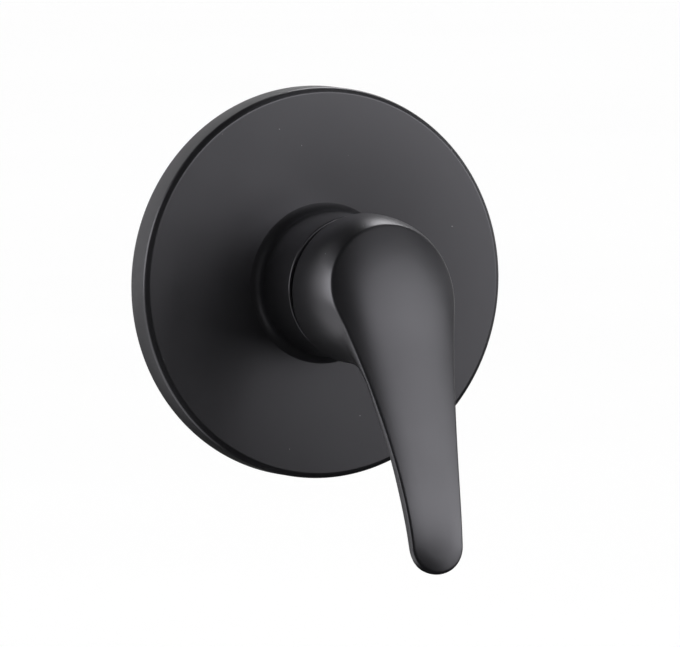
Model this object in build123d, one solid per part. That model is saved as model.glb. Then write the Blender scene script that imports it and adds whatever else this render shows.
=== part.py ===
"""Concealed single-lever shower mixer: in-wall valve, ceramic cartridge, cover plate, sleeve and lever.

Each piece is drawn in the mixer's own frame: X to the right, Y up the wall, and Z out of the wall along the
mixer's axis, with the finished wall face at Z = 0. At the end each piece is stood up, which makes the wall
face the plane Y = 0 with the lever on its -Y side and Z upright. All sizes are in millimetres.
"""

import os
from math import cos, isclose, radians, sin, sqrt, tan

from build123d import *

# Cover plate: a dish drawn from sheet, with its open side on the tiles
plate_r = 65.0
plate_depth = 11.4
plate_wall = 1.6
plate_edge_r = 2.4

# Foam seal glued behind the plate's edge
seal_width = 6.4
seal_edge_gap = 1.0

# Sleeve: turned tube that screws on the valve's neck and clamps the plate
sleeve_r = 24.0
sleeve_end = 36.0
sleeve_base_round = 1.2
sleeve_rim_chamfer = 0.6
spigot_r = 22.2
spigot_length = 8.4
plate_hole_gap = 0.2

# O-ring on the sleeve's spigot, against the back of the plate
plate_oring_r = 1.0
plate_oring_groove = 1.0
groove_play = 0.1

# Threads are left plain, with this gap from flank to flank
thread_gap = 0.1

# Valve body: brass casting with the cartridge's chamber in its neck
neck_r = 20.4
neck_end = 23.0
body_back = -43.0
port_level = -28.0
port_span = 44.0
port_boss_r = 13.5
port_thread_r = 9.32
port_thread_depth = 15.0
port_mouth_chamfer = 1.0
passage_r = 4.5
passage_wall = 2.0
lug_half_spacing = 27.0
lug_drop = 24.0
lug_r = 8.0
lug_thickness = 6.0
lug_hole_r = 2.75
casting_round = 2.0

# Cartridge: stack of base, fixed disc, moving disc, carrier and rotor in a housing
chamber_floor = -8.0
cartridge_r = 17.5
cartridge_gap = 0.1
base_flange = 3.0
base_boss = 3.0
base_fit_gap = 0.1
peg_r = 2.0
peg_length = 2.5
peg_hole_depth = 3.0
peg_offset = 13.0
inlet_x = 6.5
inlet_y = -4.0
outlet_y = 7.0
port_r = 3.0
ring_width = 1.8
ring_height = 1.4
disc_r = 14.8
disc_thickness = 4.0
moving_disc_r = 11.5
mixing_pocket_r = 5.5
mixing_pocket_y = 3.1
mixing_pocket_depth = 2.0
carrier_plate = 2.0
carrier_block_x = 7.5
carrier_block_y = 5.5
carrier_block_height = 3.6
carrier_slide_gap = 0.2
carrier_peg_r = 1.5
carrier_peg_length = 1.6
carrier_peg_x = 8.5
carrier_lift = 0.6
rotor_flange_r = 14.5
rotor_flange = 6.5
rotor_neck_r = 10.5
rotor_end_gap = 0.3
running_gap = 0.08
housing_bore_r = 15.0
housing_roof = 2.0
housing_neck_r = 13.0
housing_neck = 11.0
rotor_seal_r = 0.9
rotor_seal_drop = 5.0

# Spindle: ball in the carrier, pivot in the rotor, square for the lever
ball_r = 3.0
ball_play = 0.25
ball_arm = 10.6
ball_floor = 0.4
rod_r = 2.4
pivot_boss_r = 4.4
spindle_square = 8.0
spindle_chamfer = 0.8
spindle_tilt = 12.5
spindle_reach = 21.0
slot_side_gap = 0.3
slot_half_length = 6.9
pin_r = 1.5
pin_gap = 0.05
pin_end_gap = 0.2

# Stop ring on the housing's neck, and the notch of the rotor in which its tooth travels
stop_height = 2.2
stop_tooth_half_angle = 8.0
stop_tooth_depth = 1.6
turn_half_range = 45.0
stop_play = 1.5

# Retaining nut
nut_thread_r = 18.9
nut_bore_gap = 0.3
nut_hex_flat = 32.0
nut_hex_height = 6.0

# Lever's hub, measured from the sleeve's rim outward
hub_r = 25.0
hub_straight = 14.0
shoulder_inset = 3.1
shoulder_height = 16.0
hub_top_inset = 0.4
hub_top_height = 14.0
edge_gap = 2.7
edge_slope = 4.0
edge_bevel_out = 1.0
edge_bevel_up = 2.0
skirt_wall = 2.6
cavity_straight = 11.0
cavity_dome = 13.0

# Lever's outline seen from the front: head and tip circles joined by hollow flanks
head_inset = 3.7
head_y = 0.6
blade_reach = 82.1
tip_r = 9.4
flank_r = 340.0

# Lever's crowned top: an arc carried along the spine
crown_r = 36.0
crown_half_angle = 66.0
crown_clear = 34.0
crease_r = 1.0
root_round = 2.5

# Spine of the crowned top: height up the wall, and distance out from the sleeve's rim; its last rows start from
# the distance below the middle of the tip
spine = [
    (36.0, 16.4),
    (22.2, 25.6),
    (6.7, 33.3),
    (-12.9, 41.1),
    (-38.8, 51.8),
    (-63.2, 61.0),
]
spine_tip = [
    (-2.5, 64.8),
    (12.5, 64.0),
    (28.5, 59.0),
]

# Underside of the blade: a round belly carried along its own spine, whose rows are the distance below the
# hub's side, or at the end below the middle of the tip, and the distance out from the sleeve's rim
belly_r = 22.5
belly_half_angle = 78.0
belly_spine = [
    (-10.5, -6.0),
    (-6.0, 8.0),
    (-1.0, 22.4),
    (5.0, 33.5),
    (13.0, 40.6),
    (25.0, 47.6),
    (41.0, 54.4),
]
belly_tip = [
    (0.5, 59.0),
    (16.5, 61.0),
]

# Lever's fixing on the spindle
boss_r = 10.0
boss_start = 22.0
boss_cover = 6.0
socket_gap = 0.05
socket_end_gap = 0.5
screw_r = 2.5
screw_length = 7.0
screw_station = 29.0
screw_key_flat = 2.5
screw_key_depth = 3.0
plug_r = 3.1

# Levels of the stack along the axis, from the chamber's floor outward
base_top = chamber_floor + base_flange + base_boss
fixed_top = base_top + disc_thickness
moving_top = fixed_top + disc_thickness
carrier_top = moving_top + carrier_plate + carrier_block_height
pivot_level = moving_top + ball_floor + ball_r + ball_arm
rotor_bottom = moving_top + carrier_plate + carrier_lift
channel_roof = carrier_top + carrier_lift
flange_top = rotor_bottom + rotor_flange
housing_foot = chamber_floor + base_flange
housing_roof_level = flange_top + carrier_slide_gap
shoulder_level = housing_roof_level + housing_roof
housing_top = shoulder_level + housing_neck
rotor_top = housing_top + stop_height - rotor_end_gap
nut_hex_level = neck_end
disc_offset = ball_arm * sin(radians(spindle_tilt))
spindle_length = (sleeve_end + spindle_reach - pivot_level) / cos(radians(spindle_tilt))
arm_end = port_span - port_thread_depth
hub_top_r = hub_r - shoulder_inset
head_r = hub_r - head_inset
cavity_r = hub_r - skirt_wall
tip_y = head_y - blade_reach
ports = [(-inlet_x, inlet_y), (inlet_x, inlet_y), (0.0, outlet_y)]


def post(radius, start, end):
    """Round solid on the mixer's axis between two levels."""
    return Pos(0, 0, start) * Cylinder(radius, end - start, align=(Align.CENTER, Align.CENTER, Align.MIN))


def tube(outer, inner, start, end):
    """Round ring on the mixer's axis between two levels."""
    return post(outer, start, end) - post(inner, start, end)


def cross_bar(radius, half_length, level):
    """Round bar along X through the axis at one level."""
    return Pos(0, 0, level) * Rot(0, 90, 0) * Cylinder(radius, 2 * half_length)


def block(half_x, half_y, start, end):
    """Rectangular solid centred on the axis between two levels."""
    return Pos(0, 0, (start + end) / 2) * Box(2 * half_x, 2 * half_y, end - start)


def at_ports(piece):
    """The same piece at the hot, cold and mixed-water ports."""
    return [Pos(x, y, 0) * piece for x, y in ports]


def tilted(piece):
    """A piece drawn on the spindle's own axis, put in the rest position of the spindle."""
    return Pos(0, 0, pivot_level) * Rot(spindle_tilt, 0, 0) * piece


def sector(outer, inner, half_angle, start, end):
    """Part of a ring, on both sides of the +X direction."""
    reach = 3 * outer
    side = reach * tan(radians(half_angle / 2))
    turned = reach * cos(radians(half_angle)), reach * sin(radians(half_angle))
    wedge = make_face(
        Polyline((0, 0), (turned[0], -turned[1]), (reach, -side), (reach, side), turned, close=True)
    )
    return tube(outer, inner, start, end) & Pos(0, 0, start) * extrude(wedge, end - start)


def make_cover_plate():
    outer = post(plate_r, 0, plate_depth)
    outer = fillet(outer.edges().group_by(Axis.Z)[-1], plate_edge_r)
    inner = post(plate_r - plate_wall, 0, plate_depth - plate_wall)
    inner = fillet(inner.edges().group_by(Axis.Z)[-1], plate_edge_r - plate_wall)
    return outer - inner - post(spigot_r + plate_hole_gap, 0, plate_depth)


def make_plate_seal():
    outer = plate_r - plate_wall - seal_edge_gap
    return tube(outer, outer - seal_width, 0, plate_depth - plate_wall)


def plate_oring_level():
    return plate_depth - plate_wall - plate_oring_r


def make_plate_oring():
    centre_r = spigot_r - plate_oring_groove + plate_oring_r
    return Pos(0, 0, plate_oring_level()) * Torus(centre_r, plate_oring_r)


def make_sleeve():
    head = post(sleeve_r, plate_depth, sleeve_end)
    head = fillet(head.edges().group_by(Axis.Z)[0], sleeve_base_round)
    head = chamfer(head.edges().group_by(Axis.Z)[-1], sleeve_rim_chamfer)
    spigot = post(spigot_r, plate_depth - spigot_length, plate_depth)
    half_groove = plate_oring_r + groove_play
    level = plate_oring_level()
    groove = tube(spigot_r, spigot_r - plate_oring_groove, level - half_groove, level + half_groove)
    bore = post(neck_r + thread_gap, plate_depth - spigot_length, sleeve_end)
    return head + spigot - groove - bore


def toward_port(turn, piece):
    """A piece drawn on the axis, laid along an arm: 90 is the hot one, -90 the cold one, 0 the outlet."""
    return Pos(0, 0, port_level) * Rot(0, 0, turn) * Rot(-90, 0, 0) * piece


def make_valve_body():
    """Neck with the chamber, an arm to each port and a bar with two fixing lugs."""
    body = post(neck_r, body_back, neck_end)
    body = fillet(body.edges().group_by(Axis.Z)[0], casting_round)
    for turn in (90, -90, 0):
        body += toward_port(turn, post(port_boss_r, 0, arm_end))
    lugs = SlotOverall(2 * (lug_half_spacing + lug_r), 2 * lug_r)
    body += Pos(0, -lug_drop, body_back) * extrude(lugs, lug_thickness)

    body -= post(cartridge_r + cartridge_gap, chamber_floor, neck_end)
    body -= post(nut_thread_r + thread_gap, shoulder_level, neck_end)
    for turn in (90, -90, 0):
        body -= toward_port(turn, post(passage_r, passage_r + passage_wall, arm_end))
    for riser in at_ports(post(port_r, port_level, chamber_floor)):
        body -= riser
    lug_hole = post(lug_hole_r, body_back, body_back + lug_thickness)
    peg_hole = post(peg_r + cartridge_gap, chamber_floor - peg_hole_depth, chamber_floor)
    for side in (-1, 1):
        body -= Pos(side * lug_half_spacing, -lug_drop, 0) * lug_hole
        body -= Pos(side * peg_offset, 0, 0) * peg_hole
    return body


def make_port_socket(turn):
    """Hexagonal threaded socket brazed on the end of an arm, with a chamfered mouth."""
    hexagon = RegularPolygon(port_boss_r, 6, major_radius=False)
    socket = Pos(0, 0, arm_end) * extrude(hexagon, port_thread_depth)
    socket -= post(port_thread_r, arm_end, port_span)
    mouth = Cone(port_thread_r, port_thread_r + port_mouth_chamfer, port_mouth_chamfer)
    return toward_port(turn, socket - Pos(0, 0, port_span - port_mouth_chamfer / 2) * mouth)


def make_cartridge_base():
    base = post(cartridge_r, chamber_floor, housing_foot)
    base += post(housing_bore_r - base_fit_gap, housing_foot, base_top)
    seat_r = port_r + ring_width
    for x, y in ports:
        base -= Pos(x, y, 0) * post(port_r, chamber_floor, base_top)
        base -= Pos(x, y, 0) * post(seat_r, chamber_floor, chamber_floor + ring_height)
        base -= Pos(x, y, 0) * post(seat_r, base_top - ring_height, base_top)
    for side in (-1, 1):
        base += Pos(side * peg_offset, 0, 0) * post(peg_r, chamber_floor - peg_length, chamber_floor)
    return base


def make_port_seals():
    return Compound(at_ports(tube(port_r + ring_width, port_r, chamber_floor, chamber_floor + ring_height)))


def make_disc_seals():
    return Compound(at_ports(tube(port_r + ring_width, port_r, base_top - ring_height, base_top)))


def make_fixed_disc():
    disc = post(disc_r, base_top, fixed_top)
    for hole in at_ports(post(port_r, base_top, fixed_top)):
        disc -= hole
    return disc


def make_moving_disc():
    disc = post(moving_disc_r, fixed_top, moving_top)
    disc -= Pos(0, mixing_pocket_y, 0) * post(mixing_pocket_r, fixed_top, fixed_top + mixing_pocket_depth)
    for side in (-1, 1):
        disc -= Pos(side * carrier_peg_x, 0, 0) * post(
            carrier_peg_r, moving_top - carrier_peg_length, moving_top
        )
    return Pos(0, disc_offset, 0) * disc


def make_disc_carrier():
    carrier = post(moving_disc_r, moving_top, moving_top + carrier_plate)
    carrier += block(carrier_block_x, carrier_block_y, moving_top, carrier_top)
    carrier -= post(ball_r + ball_play, moving_top, carrier_top)
    for side in (-1, 1):
        carrier += Pos(side * carrier_peg_x, 0, 0) * post(
            carrier_peg_r, moving_top - carrier_peg_length, moving_top
        )
    return Pos(0, disc_offset, 0) * carrier


def rotor_seal_level():
    return housing_top - rotor_seal_drop


def make_rotor():
    """Flange with the carrier's channel, and a neck slotted for the spindle."""
    rotor = post(rotor_flange_r, rotor_bottom, flange_top)
    rotor += post(rotor_neck_r, flange_top, rotor_top)
    rotor -= block(carrier_block_x + carrier_slide_gap, rotor_flange_r, rotor_bottom, channel_roof)
    rotor -= block(spindle_square / 2 + slot_side_gap, slot_half_length, rotor_bottom, rotor_top)
    rotor -= cross_bar(pin_r, rotor_neck_r, pivot_level)
    seal_half = rotor_seal_r + groove_play
    seal_bottom = rotor_neck_r - 2 * rotor_seal_r + running_gap / 2
    level = rotor_seal_level()
    rotor -= tube(rotor_neck_r, seal_bottom, level - seal_half, level + seal_half)
    notch_angle = turn_half_range + stop_tooth_half_angle + stop_play
    notch_r = rotor_neck_r - stop_tooth_depth - rotor_end_gap
    rotor -= sector(rotor_neck_r, notch_r, notch_angle, housing_top, rotor_top)
    return rotor


def make_rotor_seal():
    centre_r = rotor_neck_r + running_gap / 2 - rotor_seal_r
    return Pos(0, 0, rotor_seal_level()) * Torus(centre_r, rotor_seal_r)


def make_pivot_pin():
    half = sqrt(rotor_neck_r**2 - pin_r**2) - pin_end_gap
    return cross_bar(pin_r, half, pivot_level)


def make_spindle():
    half = spindle_square / 2
    shaft = block(half, half, 0, spindle_length)
    shaft = chamfer(shaft.edges().group_by(Axis.Z)[-1], spindle_chamfer)
    spindle = shaft + Rot(0, 90, 0) * Cylinder(pivot_boss_r, spindle_square)
    spindle += post(rod_r, -ball_arm, 0)
    spindle += Pos(0, 0, -ball_arm) * Sphere(ball_r)
    spindle -= Rot(0, 90, 0) * Cylinder(pin_r + pin_gap, spindle_square)
    return tilted(spindle)


def make_cartridge_housing():
    housing = post(cartridge_r, housing_foot, shoulder_level)
    housing += post(housing_neck_r, shoulder_level, housing_top)
    housing -= post(housing_bore_r, housing_foot, housing_roof_level)
    return housing - post(rotor_neck_r + running_gap, housing_foot, housing_top)


def make_stop_ring():
    inner = rotor_neck_r + rotor_end_gap
    ring = tube(housing_neck_r, inner, housing_top, housing_top + stop_height)
    tooth_tip = rotor_neck_r - stop_tooth_depth
    stop_top = housing_top + stop_height
    return ring + sector(housing_neck_r, tooth_tip, stop_tooth_half_angle, housing_top, stop_top)


def make_retaining_nut():
    nut = post(nut_thread_r, shoulder_level, nut_hex_level)
    hexagon = RegularPolygon(nut_hex_flat / 2, 6, major_radius=False)
    nut += Pos(0, 0, nut_hex_level) * extrude(hexagon, nut_hex_height)
    return nut - post(housing_neck_r + nut_bore_gap, shoulder_level, nut_hex_level + nut_hex_height)


def lever_outline():
    """Head circle and tip circle joined by two hollow flanks that are tangent to both."""
    to_head = flank_r + head_r
    to_tip = flank_r + tip_r
    down = (to_head**2 - to_tip**2 + blade_reach**2) / (2 * blade_reach)
    centre = Vector(sqrt(to_head**2 - down**2), head_y - down)
    head = Vector(0, head_y)
    tip = Vector(0, tip_y)
    upper = head + (centre - head) * (head_r / to_head)
    lower = tip + (centre - tip) * (tip_r / to_tip)
    middle = centre + ((upper + lower) / 2 - centre).normalized() * flank_r
    right = ThreePointArc(upper, middle, lower)
    left = mirror(right, Plane.YZ)
    top = ThreePointArc((-upper.X, upper.Y), (0, head_y + head_r), upper)
    bottom = ThreePointArc((-lower.X, lower.Y), (0, tip_y - tip_r), lower)
    return make_face([right, bottom, left, top])


def lever_hub():
    """Round hub with a straight skirt and a shoulder that draws in toward the crowned top."""
    foot = sleeve_end - hub_straight
    straight_end = sleeve_end + hub_straight
    shoulder_end = straight_end + shoulder_height
    top_end = shoulder_end + hub_top_height
    top_r = hub_top_r - hub_top_inset
    shoulder = Spline(
        (hub_r, straight_end),
        (hub_top_r, shoulder_end),
        (top_r, top_end),
        tangents=[(0, 1), (top_r - hub_top_r, hub_top_height)],
    )
    rest = Polyline((top_r, top_end), (0, top_end), (0, foot), (hub_r, foot), (hub_r, straight_end))
    return revolve(Plane.XZ * make_face([shoulder, rest]), Axis.Z)


def lever_crown():
    """Everything outside the crowned top: an arc-bottomed bar carried along the spine."""
    rows = spine + [(tip_y - drop, out) for drop, out in spine_tip]
    path = Spline([(0, y, sleeve_end + out) for y, out in rows])
    section = Plane(origin=path @ 0, x_dir=(1, 0, 0), z_dir=path % 0)
    half = crown_r * sin(radians(crown_half_angle))
    drop = crown_r - crown_r * cos(radians(crown_half_angle))
    outward = 1 if section.y_dir.Z > 0 else -1
    arc = ThreePointArc((-half, -outward * drop), (0, 0), (half, -outward * drop))
    far = outward * crown_clear
    rest = Polyline((half, -outward * drop), (half, far), (-half, far), (-half, -outward * drop))
    return sweep(section * make_face([arc, rest]), path)


def lever_underside():
    """Everything outside the blade's underside: a round-bottomed bar carried along the belly's spine."""
    rows = [(-hub_r - drop, out) for drop, out in belly_spine]
    rows += [(tip_y - drop, out) for drop, out in belly_tip]
    path = Spline([(0, y, sleeve_end + out) for y, out in rows])
    section = Plane(origin=path @ 0, x_dir=(1, 0, 0), z_dir=path % 0)
    half = belly_r * sin(radians(belly_half_angle))
    rise = belly_r - belly_r * cos(radians(belly_half_angle))
    inward = 1 if section.y_dir.Y > 0 else -1
    arc = ThreePointArc((-half, inward * rise), (0, 0), (half, inward * rise))
    far = inward * crown_clear
    rest = Polyline((half, inward * rise), (half, far), (-half, far), (-half, inward * rise))
    return sweep(section * make_face([arc, rest]), path)


def lever_cavity():
    """Hollow of the hub: straight inside the skirt, then domed under the crown."""
    dome_start = sleeve_end + cavity_straight
    dome_end = dome_start + cavity_dome
    dome = EllipticalCenterArc((0, dome_start), cavity_r, cavity_dome, 0, arc_size=90)
    rest = Polyline((0, dome_end), (0, 0), (cavity_r, 0), (cavity_r, dome_start))
    return revolve(Plane.XZ * make_face([dome, rest]), Axis.Z)


def make_lever():
    """One casting: hub and blade under a crowned top, hollow hub with a boss for the spindle."""
    prism = Pos(0, 0, sleeve_end) * extrude(lever_outline(), 2 * crown_clear)
    form = lever_hub() + (prism & lever_underside())
    round_faces = form.faces().filter_by(GeomType.CYLINDER)
    flank_edges = round_faces.filter_by(lambda face: isclose(face.radius, flank_r, rel_tol=1e-6)).edges()
    hub_edges = round_faces.filter_by(lambda face: isclose(face.radius, hub_r, rel_tol=1e-6)).edges()
    hub_edges += form.faces().filter_by(GeomType.REVOLUTION).edges()
    form = fillet([edge for edge in flank_edges if edge in hub_edges], root_round)
    form -= lever_crown()
    crest = max(form.faces(), key=lambda face: face.area if face.normal_at().Z > 0.5 else 0)
    form = fillet(crest.edges(), crease_r)

    slope = tan(radians(edge_slope))
    below = Plane(origin=(0, 0, sleeve_end + edge_gap), x_dir=(1, 0, 0), z_dir=(0, -slope, 1))
    reach = 4 * hub_r
    form -= below * Pos(0, 0, -reach / 2) * Box(reach, reach, reach)
    foot = form.faces().sort_by(Axis.Z)[0]
    form = chamfer(foot.edges(), edge_bevel_out, edge_bevel_up, reference=foot)

    form -= lever_cavity()
    form += tilted(post(boss_r, boss_start, spindle_length + boss_cover)) & lever_cavity()
    half_socket = spindle_square / 2 + socket_gap
    form -= tilted(block(half_socket, half_socket, 0, spindle_length + socket_end_gap))
    form -= tilted(below_spindle(screw_r, 0, boss_r))
    return form - tilted(below_spindle(plug_r, boss_r, 2 * hub_r))


def below_spindle(radius, start, end):
    """Round solid square to the spindle at the grub screw's station, reaching down from the axis."""
    return Pos(0, -(start + end) / 2, screw_station) * Rot(90, 0, 0) * Cylinder(radius, end - start)


def make_grub_screw():
    start = spindle_square / 2
    screw = below_spindle(screw_r, start, start + screw_length)
    key = extrude(RegularPolygon(screw_key_flat / 2, 6, major_radius=False), screw_key_depth)
    screw -= Pos(0, -(start + screw_length - screw_key_depth), screw_station) * Rot(90, 0, 0) * key
    return tilted(screw)


def make_index_plug():
    """Flush plug in the skirt, shaped to the hub's round outside and inside."""
    skirt = tube(hub_r, cavity_r, sleeve_end, sleeve_end + hub_straight)
    return tilted(below_spindle(plug_r, boss_r, 2 * hub_r)) & skirt


def main():
    """Makes every piece, stands it up and writes it."""
    pieces = {
        "cover_plate": make_cover_plate(),
        "plate_seal": make_plate_seal(),
        "plate_oring": make_plate_oring(),
        "sleeve": make_sleeve(),
        "valve_body": make_valve_body(),
        "hot_socket": make_port_socket(90),
        "cold_socket": make_port_socket(-90),
        "outlet_socket": make_port_socket(0),
        "cartridge_base": make_cartridge_base(),
        "port_seals": make_port_seals(),
        "disc_seals": make_disc_seals(),
        "fixed_disc": make_fixed_disc(),
        "moving_disc": make_moving_disc(),
        "disc_carrier": make_disc_carrier(),
        "rotor": make_rotor(),
        "rotor_seal": make_rotor_seal(),
        "pivot_pin": make_pivot_pin(),
        "spindle": make_spindle(),
        "cartridge_housing": make_cartridge_housing(),
        "stop_ring": make_stop_ring(),
        "retaining_nut": make_retaining_nut(),
        "lever": make_lever(),
        "grub_screw": make_grub_screw(),
        "index_plug": make_index_plug(),
    }

    # The wall's outward direction becomes -Y, and up the wall becomes +Z
    upright = Rot(90, 0, 0)
    os.makedirs("parts", exist_ok=True)
    for name, piece in pieces.items():
        export_step(upright * piece, f"parts/{name}.step")


if __name__ == "__main__":
    main()
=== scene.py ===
import bmesh
import bpy
import numpy as np
from mathutils import Matrix, Vector


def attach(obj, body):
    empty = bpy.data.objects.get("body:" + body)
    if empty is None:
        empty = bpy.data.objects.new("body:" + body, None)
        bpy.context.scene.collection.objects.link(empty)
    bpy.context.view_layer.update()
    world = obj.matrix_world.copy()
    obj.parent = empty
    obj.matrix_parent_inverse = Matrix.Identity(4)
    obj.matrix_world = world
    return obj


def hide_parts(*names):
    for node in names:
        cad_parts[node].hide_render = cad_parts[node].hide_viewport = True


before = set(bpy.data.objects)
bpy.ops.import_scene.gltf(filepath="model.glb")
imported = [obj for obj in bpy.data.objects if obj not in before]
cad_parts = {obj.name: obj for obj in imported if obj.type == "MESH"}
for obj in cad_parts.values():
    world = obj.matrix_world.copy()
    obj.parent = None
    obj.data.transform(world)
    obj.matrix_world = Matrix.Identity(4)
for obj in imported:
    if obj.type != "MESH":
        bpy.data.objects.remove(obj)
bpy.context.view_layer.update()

# Valve body: a brass casting that sits in the wall behind the tiles. Its skin is grained by the sand mould,
# and the neck that takes the cartridge and the sleeve is turned bright on a lathe.


class Socket:
    """One socket of a material: arithmetic on values adds Math nodes, and node() adds any other node."""

    def __init__(self, tree, socket):
        self.tree = tree
        self.socket = socket

    def node(self, kind, settings, inputs, out=0):
        """Adds a node of this type: its settings first, then a value or a link for each named socket."""
        made = self.tree.nodes.new(kind)
        for name, value in settings.items():
            setattr(made, name, value)
        for name, value in inputs.items():
            if isinstance(value, Socket):
                self.tree.links.new(value.socket, made.inputs[name])
            else:
                made.inputs[name].default_value = value
        return Socket(self.tree, made.outputs[out])

    def math(self, operation, first, second):
        return self.node("ShaderNodeMath", {"operation": operation}, {0: first, 1: second})

    def __add__(self, other):
        return self.math("ADD", self, other)

    def __sub__(self, other):
        return self.math("SUBTRACT", self, other)

    def __rsub__(self, other):
        return self.math("SUBTRACT", other, self)

    def __mul__(self, other):
        return self.math("MULTIPLY", self, other)

    def __lt__(self, other):
        return self.math("LESS_THAN", self, other)

    __radd__ = __add__
    __rmul__ = __mul__

    def sine(self):
        return self.node("ShaderNodeMath", {"operation": "SINE"}, {0: self})

    def vector(self, operation, *others, out="Vector"):
        """A Vector Math node on this vector, and on another one where the operation takes two."""
        return self.node("ShaderNodeVectorMath", {"operation": operation}, dict(enumerate((self, *others))), out)

    def axis(self, name):
        """One coordinate of a place."""
        return self.node("ShaderNodeSeparateXYZ", {}, {"Vector": self}, name)

    def noise(self, size, detail=2.0):
        """Smooth noise at this place, with grains of this size in metres; a value from 0 to 1 about 0.5."""
        return self.node("ShaderNodeTexNoise", {}, {"Vector": self, "Scale": 1.0 / size, "Detail": detail}, "Fac")

    def cells(self, size, out="Distance"):
        """Cells of this size in metres at this place: the distance from the nearest middle, or its colour."""
        return self.node("ShaderNodeTexVoronoi", {}, {"Vector": self, "Scale": 1.0 / size}, out)

    def ramp(self, low, high):
        """0 below low, 1 above high and smooth between."""
        limits = {"Value": self, "From Min": low, "From Max": high}
        return self.node("ShaderNodeMapRange", {"interpolation_type": "SMOOTHSTEP"}, limits)

    def mix(self, first, second):
        """The first colour where this value is 0, and the second where it is 1."""
        return self.node("ShaderNodeMix", {"data_type": "RGBA"}, {0: self, 6: first, 7: second}, 2)

    def bump(self, height):
        """A normal for this value as relief of this height in metres."""
        return self.node("ShaderNodeBump", {}, {"Height": self, "Distance": height, "Strength": 1.0}, "Normal")


def new_finish(name, **constants):
    """A material, the function that links values to its shader, and the place on the object in metres."""
    material = bpy.data.materials.new(name)
    material.use_nodes = True
    tree = material.node_tree
    shader = tree.nodes["Principled BSDF"]
    for socket, value in constants.items():
        shader.inputs[socket.replace("_", " ")].default_value = value
    place = Socket(tree, tree.nodes.new("ShaderNodeTexCoord").outputs["Object"])

    def feed(**values):
        for socket, value in values.items():
            tree.links.new(value.socket, shader.inputs[socket.replace("_", " ")])

    return material, feed, place


crisp_angle = np.radians(28.0)


def smooth_copy(node, name, body, material):
    """A copy of a CAD node with its triangles merged and its round faces shaded smooth; it stands for the node."""
    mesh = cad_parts[node].data.copy()
    mesh.name = name
    work = bmesh.new()
    work.from_mesh(mesh)
    bmesh.ops.remove_doubles(work, verts=work.verts, dist=2e-6)
    work.to_mesh(mesh)
    work.free()
    mesh.shade_smooth()
    mesh.set_sharp_from_angle(angle=crisp_angle)
    mesh.materials.clear()
    mesh.materials.append(material)
    piece = bpy.data.objects.new(name, mesh)
    bpy.context.collection.objects.link(piece)
    even = piece.modifiers.new("even_normals", "WEIGHTED_NORMAL")
    even.keep_sharp = True
    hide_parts(node)
    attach(piece, body)
    return piece


cast_brass, feed, place = new_finish("cast_brass", Metallic=1.0)
neck_radius, neck_start, lathe_feed = 0.0206, -0.012, 16000.0
along, from_axis = place.axis("Y"), place.vector("MULTIPLY", (1.0, 0.0, 1.0)).vector("LENGTH", out="Value")
turned = (from_axis < neck_radius) * (along < neck_start)
grain = place.noise(0.0007, 3.0)
stain = place.noise(0.012, 4.0).ramp(0.42, 0.7)
rings = (along * lathe_feed).sine()
feed(
    Base_Color=turned.mix(stain.mix((0.62, 0.45, 0.19, 1), (0.45, 0.31, 0.12, 1)), (0.72, 0.53, 0.24, 1)),
    Roughness=0.52 - 0.24 * turned + 0.14 * (stain - 0.5) + 0.1 * (grain - 0.5),
    Normal=((1 - turned) * grain + 0.03 * turned * rings).bump(0.00016),
)
smooth_copy("valve_body", "valve_body_casting", "valve", cast_brass)
for port in ("hot", "cold", "outlet"):
    smooth_copy(port + "_socket", port + "_socket_hex", "valve", cast_brass)

# Cartridge and its fixing: white acetal housing, grey carrier, rotor and base, lapped ceramic discs, moulded
# rubber rings, a red stop ring, and a turned brass nut and spindle with a ground steel pin and grub screw.
acetal, feed, place = new_finish("white_acetal")
feed(
    Base_Color=place.noise(0.006, 3.0).mix((0.74, 0.74, 0.71, 1), (0.84, 0.84, 0.81, 1)),
    Roughness=0.34 + 0.16 * place.noise(0.0012),
    Normal=place.noise(0.0005).bump(0.00002),
)
grey_nylon, feed, place = new_finish("grey_nylon")
feed(
    Base_Color=place.noise(0.004, 3.0).mix((0.16, 0.17, 0.19, 1), (0.23, 0.24, 0.26, 1)),
    Roughness=0.38 + 0.2 * place.noise(0.0015),
    Normal=place.noise(0.0004).bump(0.00002),
)
red_nylon, feed, place = new_finish("red_nylon")
feed(
    Base_Color=place.noise(0.003, 3.0).mix((0.46, 0.03, 0.025, 1), (0.58, 0.05, 0.04, 1)),
    Roughness=0.35 + 0.2 * place.noise(0.0012),
    Normal=place.noise(0.0004).bump(0.00002),
)
lapped_ceramic, feed, place = new_finish("lapped_ceramic")
speck = place.cells(0.0006).ramp(0.1, 0.25)
feed(
    Base_Color=speck.mix((0.74, 0.73, 0.70, 1), (0.87, 0.86, 0.83, 1)),
    Roughness=0.12 + 0.12 * place.noise(0.001),
    Normal=place.noise(0.0003).bump(0.000004),
)
seal_rubber, feed, place = new_finish("seal_rubber")
feed(
    Base_Color=place.noise(0.002, 3.0).mix((0.014, 0.014, 0.014, 1), (0.028, 0.028, 0.027, 1)),
    Roughness=0.5 + 0.25 * place.noise(0.0008),
    Normal=place.noise(0.0003).bump(0.00002),
)
turned_brass, feed, place = new_finish("turned_brass", Metallic=1.0)
nut_feed = 21000.0
rings = (place.axis("Y") * nut_feed + 3.0 * place.noise(0.004)).sine()
feed(
    Base_Color=place.noise(0.008, 4.0).mix((0.60, 0.43, 0.18, 1), (0.72, 0.53, 0.24, 1)),
    Roughness=0.24 + 0.2 * place.noise(0.0011),
    Normal=rings.bump(0.000008),
)
ground_steel, feed, place = new_finish("ground_steel", Metallic=1.0)
grinding_feed = 26000.0
scratch = (place.axis("X") * grinding_feed + 4.0 * place.noise(0.002)).sine()
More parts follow.
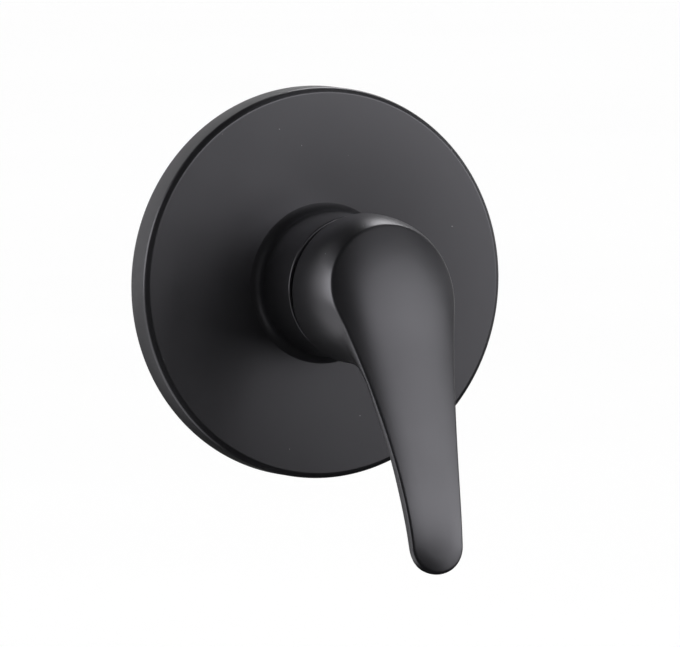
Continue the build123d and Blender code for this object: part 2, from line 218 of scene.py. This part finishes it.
feed(
    Base_Color=place.noise(0.003).mix((0.42, 0.42, 0.43, 1), (0.56, 0.56, 0.56, 1)),
    Roughness=0.22 + 0.2 * place.noise(0.0008),
    Normal=scratch.bump(0.000006),
)
for node, body, slot, material in (
    ("cartridge_base", "valve", "grey_plastic", grey_nylon),
    ("port_seals", "valve", "rubber", seal_rubber),
    ("disc_seals", "valve", "rubber", seal_rubber),
    ("fixed_disc", "valve", "ceramic", lapped_ceramic),
    ("moving_disc", "slider", "ceramic", lapped_ceramic),
    ("disc_carrier", "slider", "grey_plastic", grey_nylon),
    ("rotor", "turret", "grey_plastic", grey_nylon),
    ("rotor_seal", "turret", "rubber", seal_rubber),
    ("pivot_pin", "turret", "steel", ground_steel),
    ("spindle", "handle", "brass", turned_brass),
    ("cartridge_housing", "valve", "housing_plastic", acetal),
    ("stop_ring", "valve", "stop_plastic", red_nylon),
    ("retaining_nut", "valve", "brass", turned_brass),
    ("grub_screw", "handle", "steel", ground_steel),
):
    smooth_copy(node, node + "_finished", body, material)

# Cover plate: a round dish spun from brass sheet and coated satin black, with a narrow slope round its front.
# Its back edge presses a ring of closed-cell foam on the tiles, and an O-ring centres it on the sleeve's spigot.


def rounded(corners, steps):
    """A closed outline of (out, along, round) rows in millimetres, as points in metres. Each corner is replaced
    by the circle arc that touches both of its sides, a rational curve with the corner as its pole."""
    corners = np.asarray(corners, float) * 0.001
    corner, radius = corners[:, :2], corners[:, 2]
    back = np.roll(corner, 1, axis=0) - corner
    ahead = np.roll(corner, -1, axis=0) - corner
    back /= np.linalg.norm(back, axis=1)[:, None]
    ahead /= np.linalg.norm(ahead, axis=1)[:, None]
    half = 0.5 * np.arccos(np.clip((back * ahead).sum(axis=1), -1.0, 1.0))
    setback = (radius / np.tan(half))[:, None]
    t = np.linspace(0.0, 1.0, steps)[None, :, None]
    pole = np.sin(half)[:, None, None]
    first, middle, last = (1 - t) ** 2, 2 * pole * t * (1 - t), t**2
    start, end = (corner + back * setback)[:, None], (corner + ahead * setback)[:, None]
    arcs = (first * start + middle * corner[:, None] + last * end) / (first + middle + last)
    return arcs.reshape(-1, 2)


def surface(name, points, around=True, along=True):
    """A mesh through a grid of points: neighbours are joined by quads, and closed round either way if asked.
    Points that meet, as at a pole, are merged, and the faces are turned outward."""
    rows, columns = points.shape[:2]
    i, j = np.meshgrid(np.arange(rows - (not around)), np.arange(columns - (not along)), indexing="ij")
    here, ahead, beside = i * columns, (i + 1) % rows * columns, (j + 1) % columns
    quads = np.stack([here + j, ahead + j, ahead + beside, here + beside], axis=-1)
    mesh = bpy.data.meshes.new(name)
    mesh.from_pydata(points.reshape(-1, 3).tolist(), [], quads.reshape(-1, 4).tolist())
    work = bmesh.new()
    work.from_mesh(mesh)
    bmesh.ops.remove_doubles(work, verts=work.verts, dist=1e-7)
    bmesh.ops.dissolve_degenerate(work, edges=work.edges, dist=1e-8)
    bmesh.ops.recalc_face_normals(work, faces=work.faces)
    work.to_mesh(mesh)
    work.free()
    mesh.shade_smooth()
    piece = bpy.data.objects.new(name, mesh)
    bpy.context.collection.objects.link(piece)
    return piece


def turned_round(name, outline, columns):
    """An outline of (out, along) points turned round the mixer's axis: x and z are out times the cosine and
    the sine of the turn, and y is minus along, because the trim stands on the -Y side of the wall."""
    turn = np.linspace(0.0, 2 * np.pi, columns, endpoint=False)[:, None]
    out, along = outline[None, :, 0], outline[None, :, 1]
    return surface(name, np.stack([out * np.cos(turn), -along + 0 * turn, out * np.sin(turn)], axis=-1))


def finish_piece(piece, material, body, slot, *nodes):
    """Gives a piece its material, ties it to its body and hides the CAD nodes it stands for; the slot is not used.
    """
    piece.data.materials.append(material)
    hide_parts(*nodes)
    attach(piece, body)
    return piece


satin_black, feed, place = new_finish("satin_black", IOR=2.0, Specular_Tint=(0.94, 0.925, 1.0, 1.0))
cloud = place.noise(0.026, 3.0)
fine = place.noise(0.00035, 2.0)
dust_spacing, dust_radius, dust_share = 0.0042, 0.042, 0.22
chance = place.node("ShaderNodeSeparateColor", {}, {0: place.cells(dust_spacing, "Color")})
dust = (place.cells(dust_spacing) < dust_radius) * (chance < dust_share)
coat = cloud.mix((0.0042, 0.0042, 0.0050, 1), (0.0060, 0.0060, 0.0070, 1))
feed(
    Base_Color=dust.mix(coat, (0.25, 0.25, 0.26, 1)),
    Roughness=0.34 + 0.12 * (cloud - 0.5) + 0.1 * (fine - 0.5) + 0.3 * dust,
    Normal=fine.bump(0.000004),
)
plate_outline = rounded(
    [
        (22.4, 11.4, 0.1),
        (63.4, 11.4, 1.0),
        (65.0, 10.0, 1.7),
        (65.0, 0.0, 0.3),
        (63.4, 0.0, 0.3),
        (63.4, 9.8, 0.8),
        (22.4, 9.8, 0.2),
    ],
    9,
)
dish = turned_round("cover_plate_dish", plate_outline, 384)
finish_piece(dish, satin_black, "valve", "black_trim", "cover_plate")

foam, feed, place = new_finish("closed_cell_foam")
pores = place.cells(0.0009).ramp(0.15, 0.75)
feed(
    Base_Color=pores.mix((0.05, 0.05, 0.055, 1), (0.085, 0.085, 0.09, 1)),
    Roughness=0.85 + 0.12 * place.noise(0.002),
    Normal=pores.bump(0.00025),
)
foam_outline = rounded([(62.4, 9.8, 0.3), (62.4, 0.0, 0.5), (56.0, 0.0, 0.5), (56.0, 9.8, 0.3)], 5)
finish_piece(turned_round("plate_seal_foam", foam_outline, 256), foam, "valve", "foam", "plate_seal")
smooth_copy("plate_oring", "plate_oring_finished", "valve", seal_rubber)

# Sleeve: a turned brass tube in the same satin black. It screws on the valve's neck and clamps the plate with its
# flared foot, whose hollow is dark all round. Its rounded rim shows as a fine bright line beside the lever's hub.
sleeve_outline = rounded(
    [
        (20.5, 36.0, 0.25),
        (24.0, 36.0, 0.6),
        (24.0, 13.11, 6.0),
        (26.9, 11.3, 0.02),
        (22.2, 11.3, 0.05),
        (22.2, 9.9, 0.05),
        (21.2, 9.9, 0.1),
        (21.2, 7.7, 0.1),
        (22.2, 7.7, 0.05),
        (22.2, 3.0, 0.3),
        (20.5, 3.0, 0.2),
    ],
    13,
)
finish_piece(turned_round("sleeve_tube", sleeve_outline, 256), satin_black, "valve", "black_trim", "sleeve")

# Lever: one zinc casting, ground, blasted and coated satin black. Its crowned top ends in a crisp crease, the
# hub's wall leans in below that crease and flows into the blade, and the skirt hangs over the sleeve's rim. A
# square boss inside holds it on the spindle, and a small plug hides the screw under the hub.


def spline(rows, at):
    """Level and slope of the natural cubic curve through (station, level) rows, at any array of stations: the
    second derivatives are those that make the slope the same on both sides of every row."""
    station, level = np.array(sorted(rows)).T
    run, rise = np.diff(station), np.diff(level)
    system = np.eye(len(station))
    inner = np.arange(1, len(station) - 1)
    system[inner, inner - 1], system[inner, inner + 1] = run[:-1], run[1:]
    system[inner, inner] = 2 * (run[:-1] + run[1:])
    bend = np.zeros(len(station))
    bend[1:-1] = 6 * np.diff(rise / run)
    bend = np.linalg.solve(system, bend)
    k = np.clip(np.searchsorted(station, at) - 1, 0, len(run) - 1)
    t, h = at - station[k], run[k]
    first = rise[k] / h - h * (2 * bend[k] + bend[k + 1]) / 6
    third = (bend[k + 1] - bend[k]) / h
    return level[k] + t * (first + t * (bend[k] / 2 + t * third / 6)), first + t * (bend[k] + t * third / 2)


def crown(x, y):
    """Level of the top: a circle's arc carried square to the spine, so its drop grows with the slope."""
    arc_r, rows = 50.0, [(36, 52.4), (22.2, 61.6), (6.7, 69.3), (-12.9, 77.1), (-38.8, 87.8)]
    rows += [(-63.2, 97.0), (-79, 101.2), (-94, 102.6), (-110, 102.5)]
    level, slope = spline(rows, y)
    return level - (arc_r - np.sqrt(arc_r**2 - x**2)) * np.sqrt(1 + slope**2)


def belly(x, y):
    """Level of the underside: a round belly carried square to its own spine, level beyond its widest place."""
    belly_r, widest, rows = 22.5, 22.0, [(-14.5, 30), (-19, 44), (-24, 58.4), (-30, 69.5), (-38, 76.6)]
    rows += [(-50, 83.6), (-66, 90.4), (-82, 95.6), (-98, 98.2)]
    level, slope = spline(rows, y)
    return level + (belly_r - np.sqrt(belly_r**2 - np.clip(x, -widest, widest) ** 2)) * np.sqrt(1 + slope**2)


def wider(first, second, blend):
    """The larger of two radii, with a hollow fillet where they come within the blend of each other."""
    return np.maximum(first, second) + 0.25 * blend * np.clip(1 - np.abs(first - second) / blend, 0, 1) ** 2


def lever_points():
    """Columns follow the lever's outline from the front: a head circle and a tip circle joined by hollow arcs
    tangent to both. Each column's rows run from the spine over the crown to the outline, round the crease as a
    quadratic curve, down the side, which is the wider of the hub's wall and the blade above its belly, round the
    skirt's bevelled edge and up its inner wall into the dome of the hub."""
    head_r, head_y, tip_r, tip_y, flank_r, hub_r = 22.1, 0.4, 9.2, -80.6, 340.0, 25.0
    to_head, to_tip, span = flank_r + head_r, flank_r + tip_r, head_y - tip_y
    drop = (to_head**2 - to_tip**2 + span**2) / (2 * span)
    flank_x, flank_y = np.sqrt(to_head**2 - drop**2), head_y - drop
    upper, lower = np.arctan2(flank_y - head_y, flank_x), np.arctan2(flank_y - tip_y, flank_x)
    head, flank = np.linspace(np.pi / 2, upper, 60), np.linspace(upper + np.pi, lower + np.pi, 90)[1:]
    tip = np.linspace(lower, -np.pi / 2, 36)[1:]
    head_part = head_r * np.cos(head), head_y + head_r * np.sin(head)
    flank_part = flank_x + flank_r * np.cos(flank), flank_y + flank_r * np.sin(flank)
    tip_part = tip_r * np.cos(tip), tip_y + tip_r * np.sin(tip)
    x, y = np.concatenate([head_part, flank_part, tip_part], axis=1)
    x[[0, -1]] = 0.0
    x, y = np.concatenate([x, -x[-2:0:-1]])[:, None], np.concatenate([y, y[-2:0:-1]])[:, None]
    reach, spine_y = np.hypot(x, y), np.clip(y, tip_y, head_y)
    way_x, way_y, half_width = x / reach, y / reach, np.hypot(x, y - spine_y)

    # Crown, from the spine to just inside the crease, rolled down over its outer half, least at the head
    crease, roll_share, roll_start, head_relief = 0.8, 0.045, 0.45, 0.6
    roll = roll_share * half_width * (1 - head_relief * np.clip(way_y, 0, 1))
    top = crown(x, y) - roll
    share = np.linspace(0, 1, 36)[None, :] * (1 - crease / half_width)
    over_x, over_y = x * share, spine_y + (y - spine_y) * share
    rolled = roll * np.clip((share - roll_start) / (1 - roll_start), 0, 1) ** 2
    over = np.stack([over_x, over_y, crown(over_x, over_y) - rolled], axis=-1)

    # Levels of the side: the first is the corner under the crease, the next lies just below it, and the last is
    # at the bevel of the skirt, whose edge slants with the hub's lower end
    skirt, slant, bevel, crowding = 38.7, np.tan(np.radians(4.0)), 2.0, 1.6

    def edge(radius):
        return skirt + slant * radius * way_y

    below, down = top - crease, np.linspace(0, 1, 72) ** crowding
    level = np.concatenate([top, below + (edge(hub_r) + bevel - below) * down], axis=1)

    # Hub's wall, which leans in to the outline, and the blade, as far out as its belly lies under each level
    lean_from, belly_from, farthest, edge_blend = 40.0, -2.0, 100.0, 1.6
    lean = np.clip((level - lean_from) / (top - lean_from), 0, 1) ** 3
    wall = hub_r - np.clip(hub_r - reach, 0, None) * lean
    ray = np.linspace(0, farthest, 400)[None, :]
    under = np.maximum.accumulate(belly(ray * way_x, np.minimum(ray * way_y, belly_from)), axis=1)
    blade = np.stack([np.interp(row, line, ray[0]) for row, line in zip(level, under)])
    blade = -wider(-blade, -reach, edge_blend)

    # Both joined with a fillet at the blade's root, drawn to the outline at the top and a little full below it
    no_blend, root_blend, root_from, root_width = 0.01, 7.0, 22.0, 8.0
    draw_from, full, full_depth, full_from, full_width = 45.0, 0.34, 4.0, 22.5, 7.0
    side = wider(wall, blade, no_blend + root_blend * np.clip((reach - root_from) / root_width, 0, 1))
    side = side + (reach - side[:, :1]) * np.clip((level - draw_from) / (top - draw_from), 0, 1) ** 2
    depth, on_blade = top - level, np.clip((reach - full_from) / full_width, 0, 1)
    side = side + full * depth * np.exp(-((depth / full_depth) ** 2)) * on_blade
    side = np.stack([side * way_x, side * way_y, level], axis=-1)

    # Crease: from the crown over the corner to the side
    t = np.linspace(0, 1, 7)[None, 1:-1, None]
    bend = (1 - t) ** 2 * over[:, -1:] + 2 * t * (1 - t) * side[:, :1] + t**2 * side[:, 1:2]

    # Skirt's bevelled edge as (radius, height over the edge) rows, then the inner wall and the dome
    inner_r, dome_start, dome_rise = 22.4, 47.0, 13.0
    rows = np.array([(24.95, 1.75), (24.05, 0.1), (23.9, 0.0), (22.6, 0.0), (inner_r, 0.2)])
    arch = np.linspace(0, np.pi / 2, 16)
    out = np.concatenate([rows[:, 0], inner_r * np.cos(arch)]) + 0 * x
    out[:, -1] = 0.0
    rise = np.concatenate([edge(rows[:, 0]) + rows[:, 1], dome_start + dome_rise * np.sin(arch) + 0 * x], axis=1)
    hollow = np.stack([out * way_x, out * way_y, rise], axis=-1)
    points = np.concatenate([over, bend, side[:, 1:], hollow], axis=1)
    return 0.001 * np.stack([points[..., 0], -points[..., 2], points[..., 1]], axis=-1)


casting = surface("lever_casting", lever_points(), along=False)
finish_piece(casting, satin_black, "handle", "black_trim", "lever")


def boss_points():
    """A round boss with a square socket, along the spindle's axis, which is tilted down about the pivot. Its rows
    run from the socket's closed end out along the square, over the rim and back along the round outside."""
    tilt, pivot, half_square, boss_r = np.radians(12.5), 20.0, 4.05, 10.0
    closed_end, mouth, boss_end = 38.4, 22.0, 43.9
    turn = np.linspace(0, 2 * np.pi, 96, endpoint=False)[:, None]
    square = half_square / np.maximum(np.abs(np.cos(turn)), np.abs(np.sin(turn)))
    pole, circle = 0 * square, boss_r + 0 * square
    out = np.concatenate([pole, square, square, circle, circle, pole], axis=1)
    station = np.array([[closed_end, closed_end, mouth, mouth, boss_end, boss_end]])
    x, sideways = out * np.cos(turn), out * np.sin(turn)
    y = sideways * np.cos(tilt) - station * np.sin(tilt)
    p = pivot + sideways * np.sin(tilt) + station * np.cos(tilt)
    return 0.001 * np.stack([x, -p, y], axis=-1)


boss = surface("lever_boss", boss_points(), along=False)
boss.data.set_sharp_from_angle(angle=crisp_angle)
finish_piece(boss, satin_black, "handle", "black_trim", "lever")

plug = smooth_copy("index_plug", "index_plug_finished", "handle", satin_black)
plug_face, proud = 0.0247, 0.008
spots = np.empty(3 * len(plug.data.vertices), np.float32)
plug.data.vertices.foreach_get("co", spots)
spots = spots.reshape(-1, 3)
outermost = np.hypot(spots[:, 0], spots[:, 2]) > plug_face
spots[:, [0, 2]] *= 1 + proud * outermost[:, None]
plug.data.vertices.foreach_set("co", spots.ravel())

# Studio: a plain pale floor below the mixer and white surroundings, with a wide soft lamp in front on the right and
# smaller ones low beside it, at the left and high behind. Round the set hangs a curtain that only reflections see, a
# painted reflection: black as painted shade, with a paler stretch behind, a pale patch low at the left and a dim one
# high in front as painted light that the black coat mirrors.
floor_end, floor_level = 30.0, -0.25
floor_x, floor_y = np.meshgrid([-floor_end, floor_end], [-floor_end, floor_end], indexing="ij")
floor = surface("floor", np.stack([floor_x, floor_y, floor_level + 0 * floor_x], axis=-1), False, False)
pale, feed, place = new_finish("pale_floor", Roughness=0.9)
feed(Base_Color=place.noise(0.5).mix((0.98, 0.98, 0.98, 1), (1.0, 1.0, 1.0, 1)))
floor.data.materials.append(pale)

curtain_r, curtain_foot = 1.3, 0.24
around, above = np.radians(np.meshgrid(np.linspace(-180, 180, 73), np.linspace(-88, 88, 60), indexing="ij"))
ways = np.stack([np.sin(around) * np.cos(above), -np.cos(around) * np.cos(above), np.sin(above)], axis=-1)
curtain_reach = np.minimum(curtain_r, curtain_foot / np.maximum(-np.sin(above), 0.01))
curtain = surface("painted_reflection_curtain", curtain_reach[..., None] * ways, False, False)
# The curtain's colours are a painted reflection: black for shade, and pale patches that stand in for soft lights.
painted_reflection, feed, place = new_finish("painted_reflection", Roughness=1.0, Specular_IOR_Level=0.0)
way = place.vector("NORMALIZE")
along, up = way.axis("Y"), way.axis("Z")
behind = along.ramp(-0.3, 0.4) * (1 - up.ramp(0.45, 0.8)) * up.ramp(-0.5, 0.05)
high_front = way.vector("DOT_PRODUCT", (0.38, -0.55, 0.74), out="Value").ramp(0.82, 0.97)
low_left = way.vector("DOT_PRODUCT", (-0.71, 0.41, -0.57), out="Value").ramp(0.8, 0.95)
grey = behind.mix((0.004, 0.004, 0.004, 1), (0.45, 0.45, 0.45, 1))
grey = high_front.mix(grey, (0.26, 0.26, 0.26, 1))
feed(Base_Color=low_left.mix(grey, (0.6, 0.6, 0.6, 1)))
curtain.data.materials.append(painted_reflection)
curtain.visible_camera = False
curtain.visible_diffuse = False
curtain.visible_shadow = False

world = bpy.data.worlds.new("surroundings")
world.use_nodes = True
background = world.node_tree.nodes["Background"]
background.inputs["Color"].default_value = (1, 1, 1, 1)
background.inputs["Strength"].default_value = 1.0
bpy.context.scene.world = world


def outward(turn, lift):
    """Way from the mixer at a turn to the right of straight ahead and a lift over level, both in degrees."""
    turn, lift = np.radians(turn), np.radians(lift)
    return Vector((np.sin(turn) * np.cos(lift), -np.cos(turn) * np.cos(lift), np.sin(lift)))


lamp_aim, lamp_distance = Vector((0.0, -0.04, 0.0)), 0.8
for name, turn, lift, wide, high, roll, power in (
    ("front_lamp", 32.0, 21.0, 1.45, 0.43, -12.0, 3.5),
    ("low_lamp", 48.0, -5.0, 0.58, 0.3, 0.0, 0.58),
    ("left_lamp", -110.0, 12.0, 0.35, 0.45, 0.0, 1.1),
    ("back_lamp", 141.0, 47.0, 0.35, 0.35, 0.0, 1.4),
):
    lamp = bpy.data.objects.new(name, bpy.data.lights.new(name, "AREA"))
    lamp.data.shape = "RECTANGLE"
    lamp.data.size, lamp.data.size_y = wide, high
    lamp.data.energy = power
    lamp.location = lamp_aim + lamp_distance * outward(turn, lift)
    facing = outward(turn, lift).to_track_quat("Z", "Y").to_matrix() @ Matrix.Rotation(np.radians(roll), 3, "Z")
    lamp.rotation_euler = facing.to_euler()
    bpy.context.collection.objects.link(lamp)

camera_turn, camera_lift, camera_distance, shift_right, shift_down = -24.95, 3.97, 6.0, 0.01017, 0.01413
back, right = outward(camera_turn, camera_lift), outward(camera_turn + 90.0, 0.0)
upward = back.cross(right)
stand = right * shift_right - upward * shift_down + back * camera_distance
camera = bpy.data.objects.new("camera", bpy.data.cameras.new("camera"))
camera.data.sensor_fit = "HORIZONTAL"
camera.data.sensor_width = 36.0
camera.data.lens = 956.4
camera.matrix_world = Matrix.Translation(stand) @ Matrix((right, upward, back)).transposed().to_4x4()
bpy.context.collection.objects.link(camera)
bpy.context.scene.camera = camera
bpy.context.scene.view_settings.view_transform = "Standard"
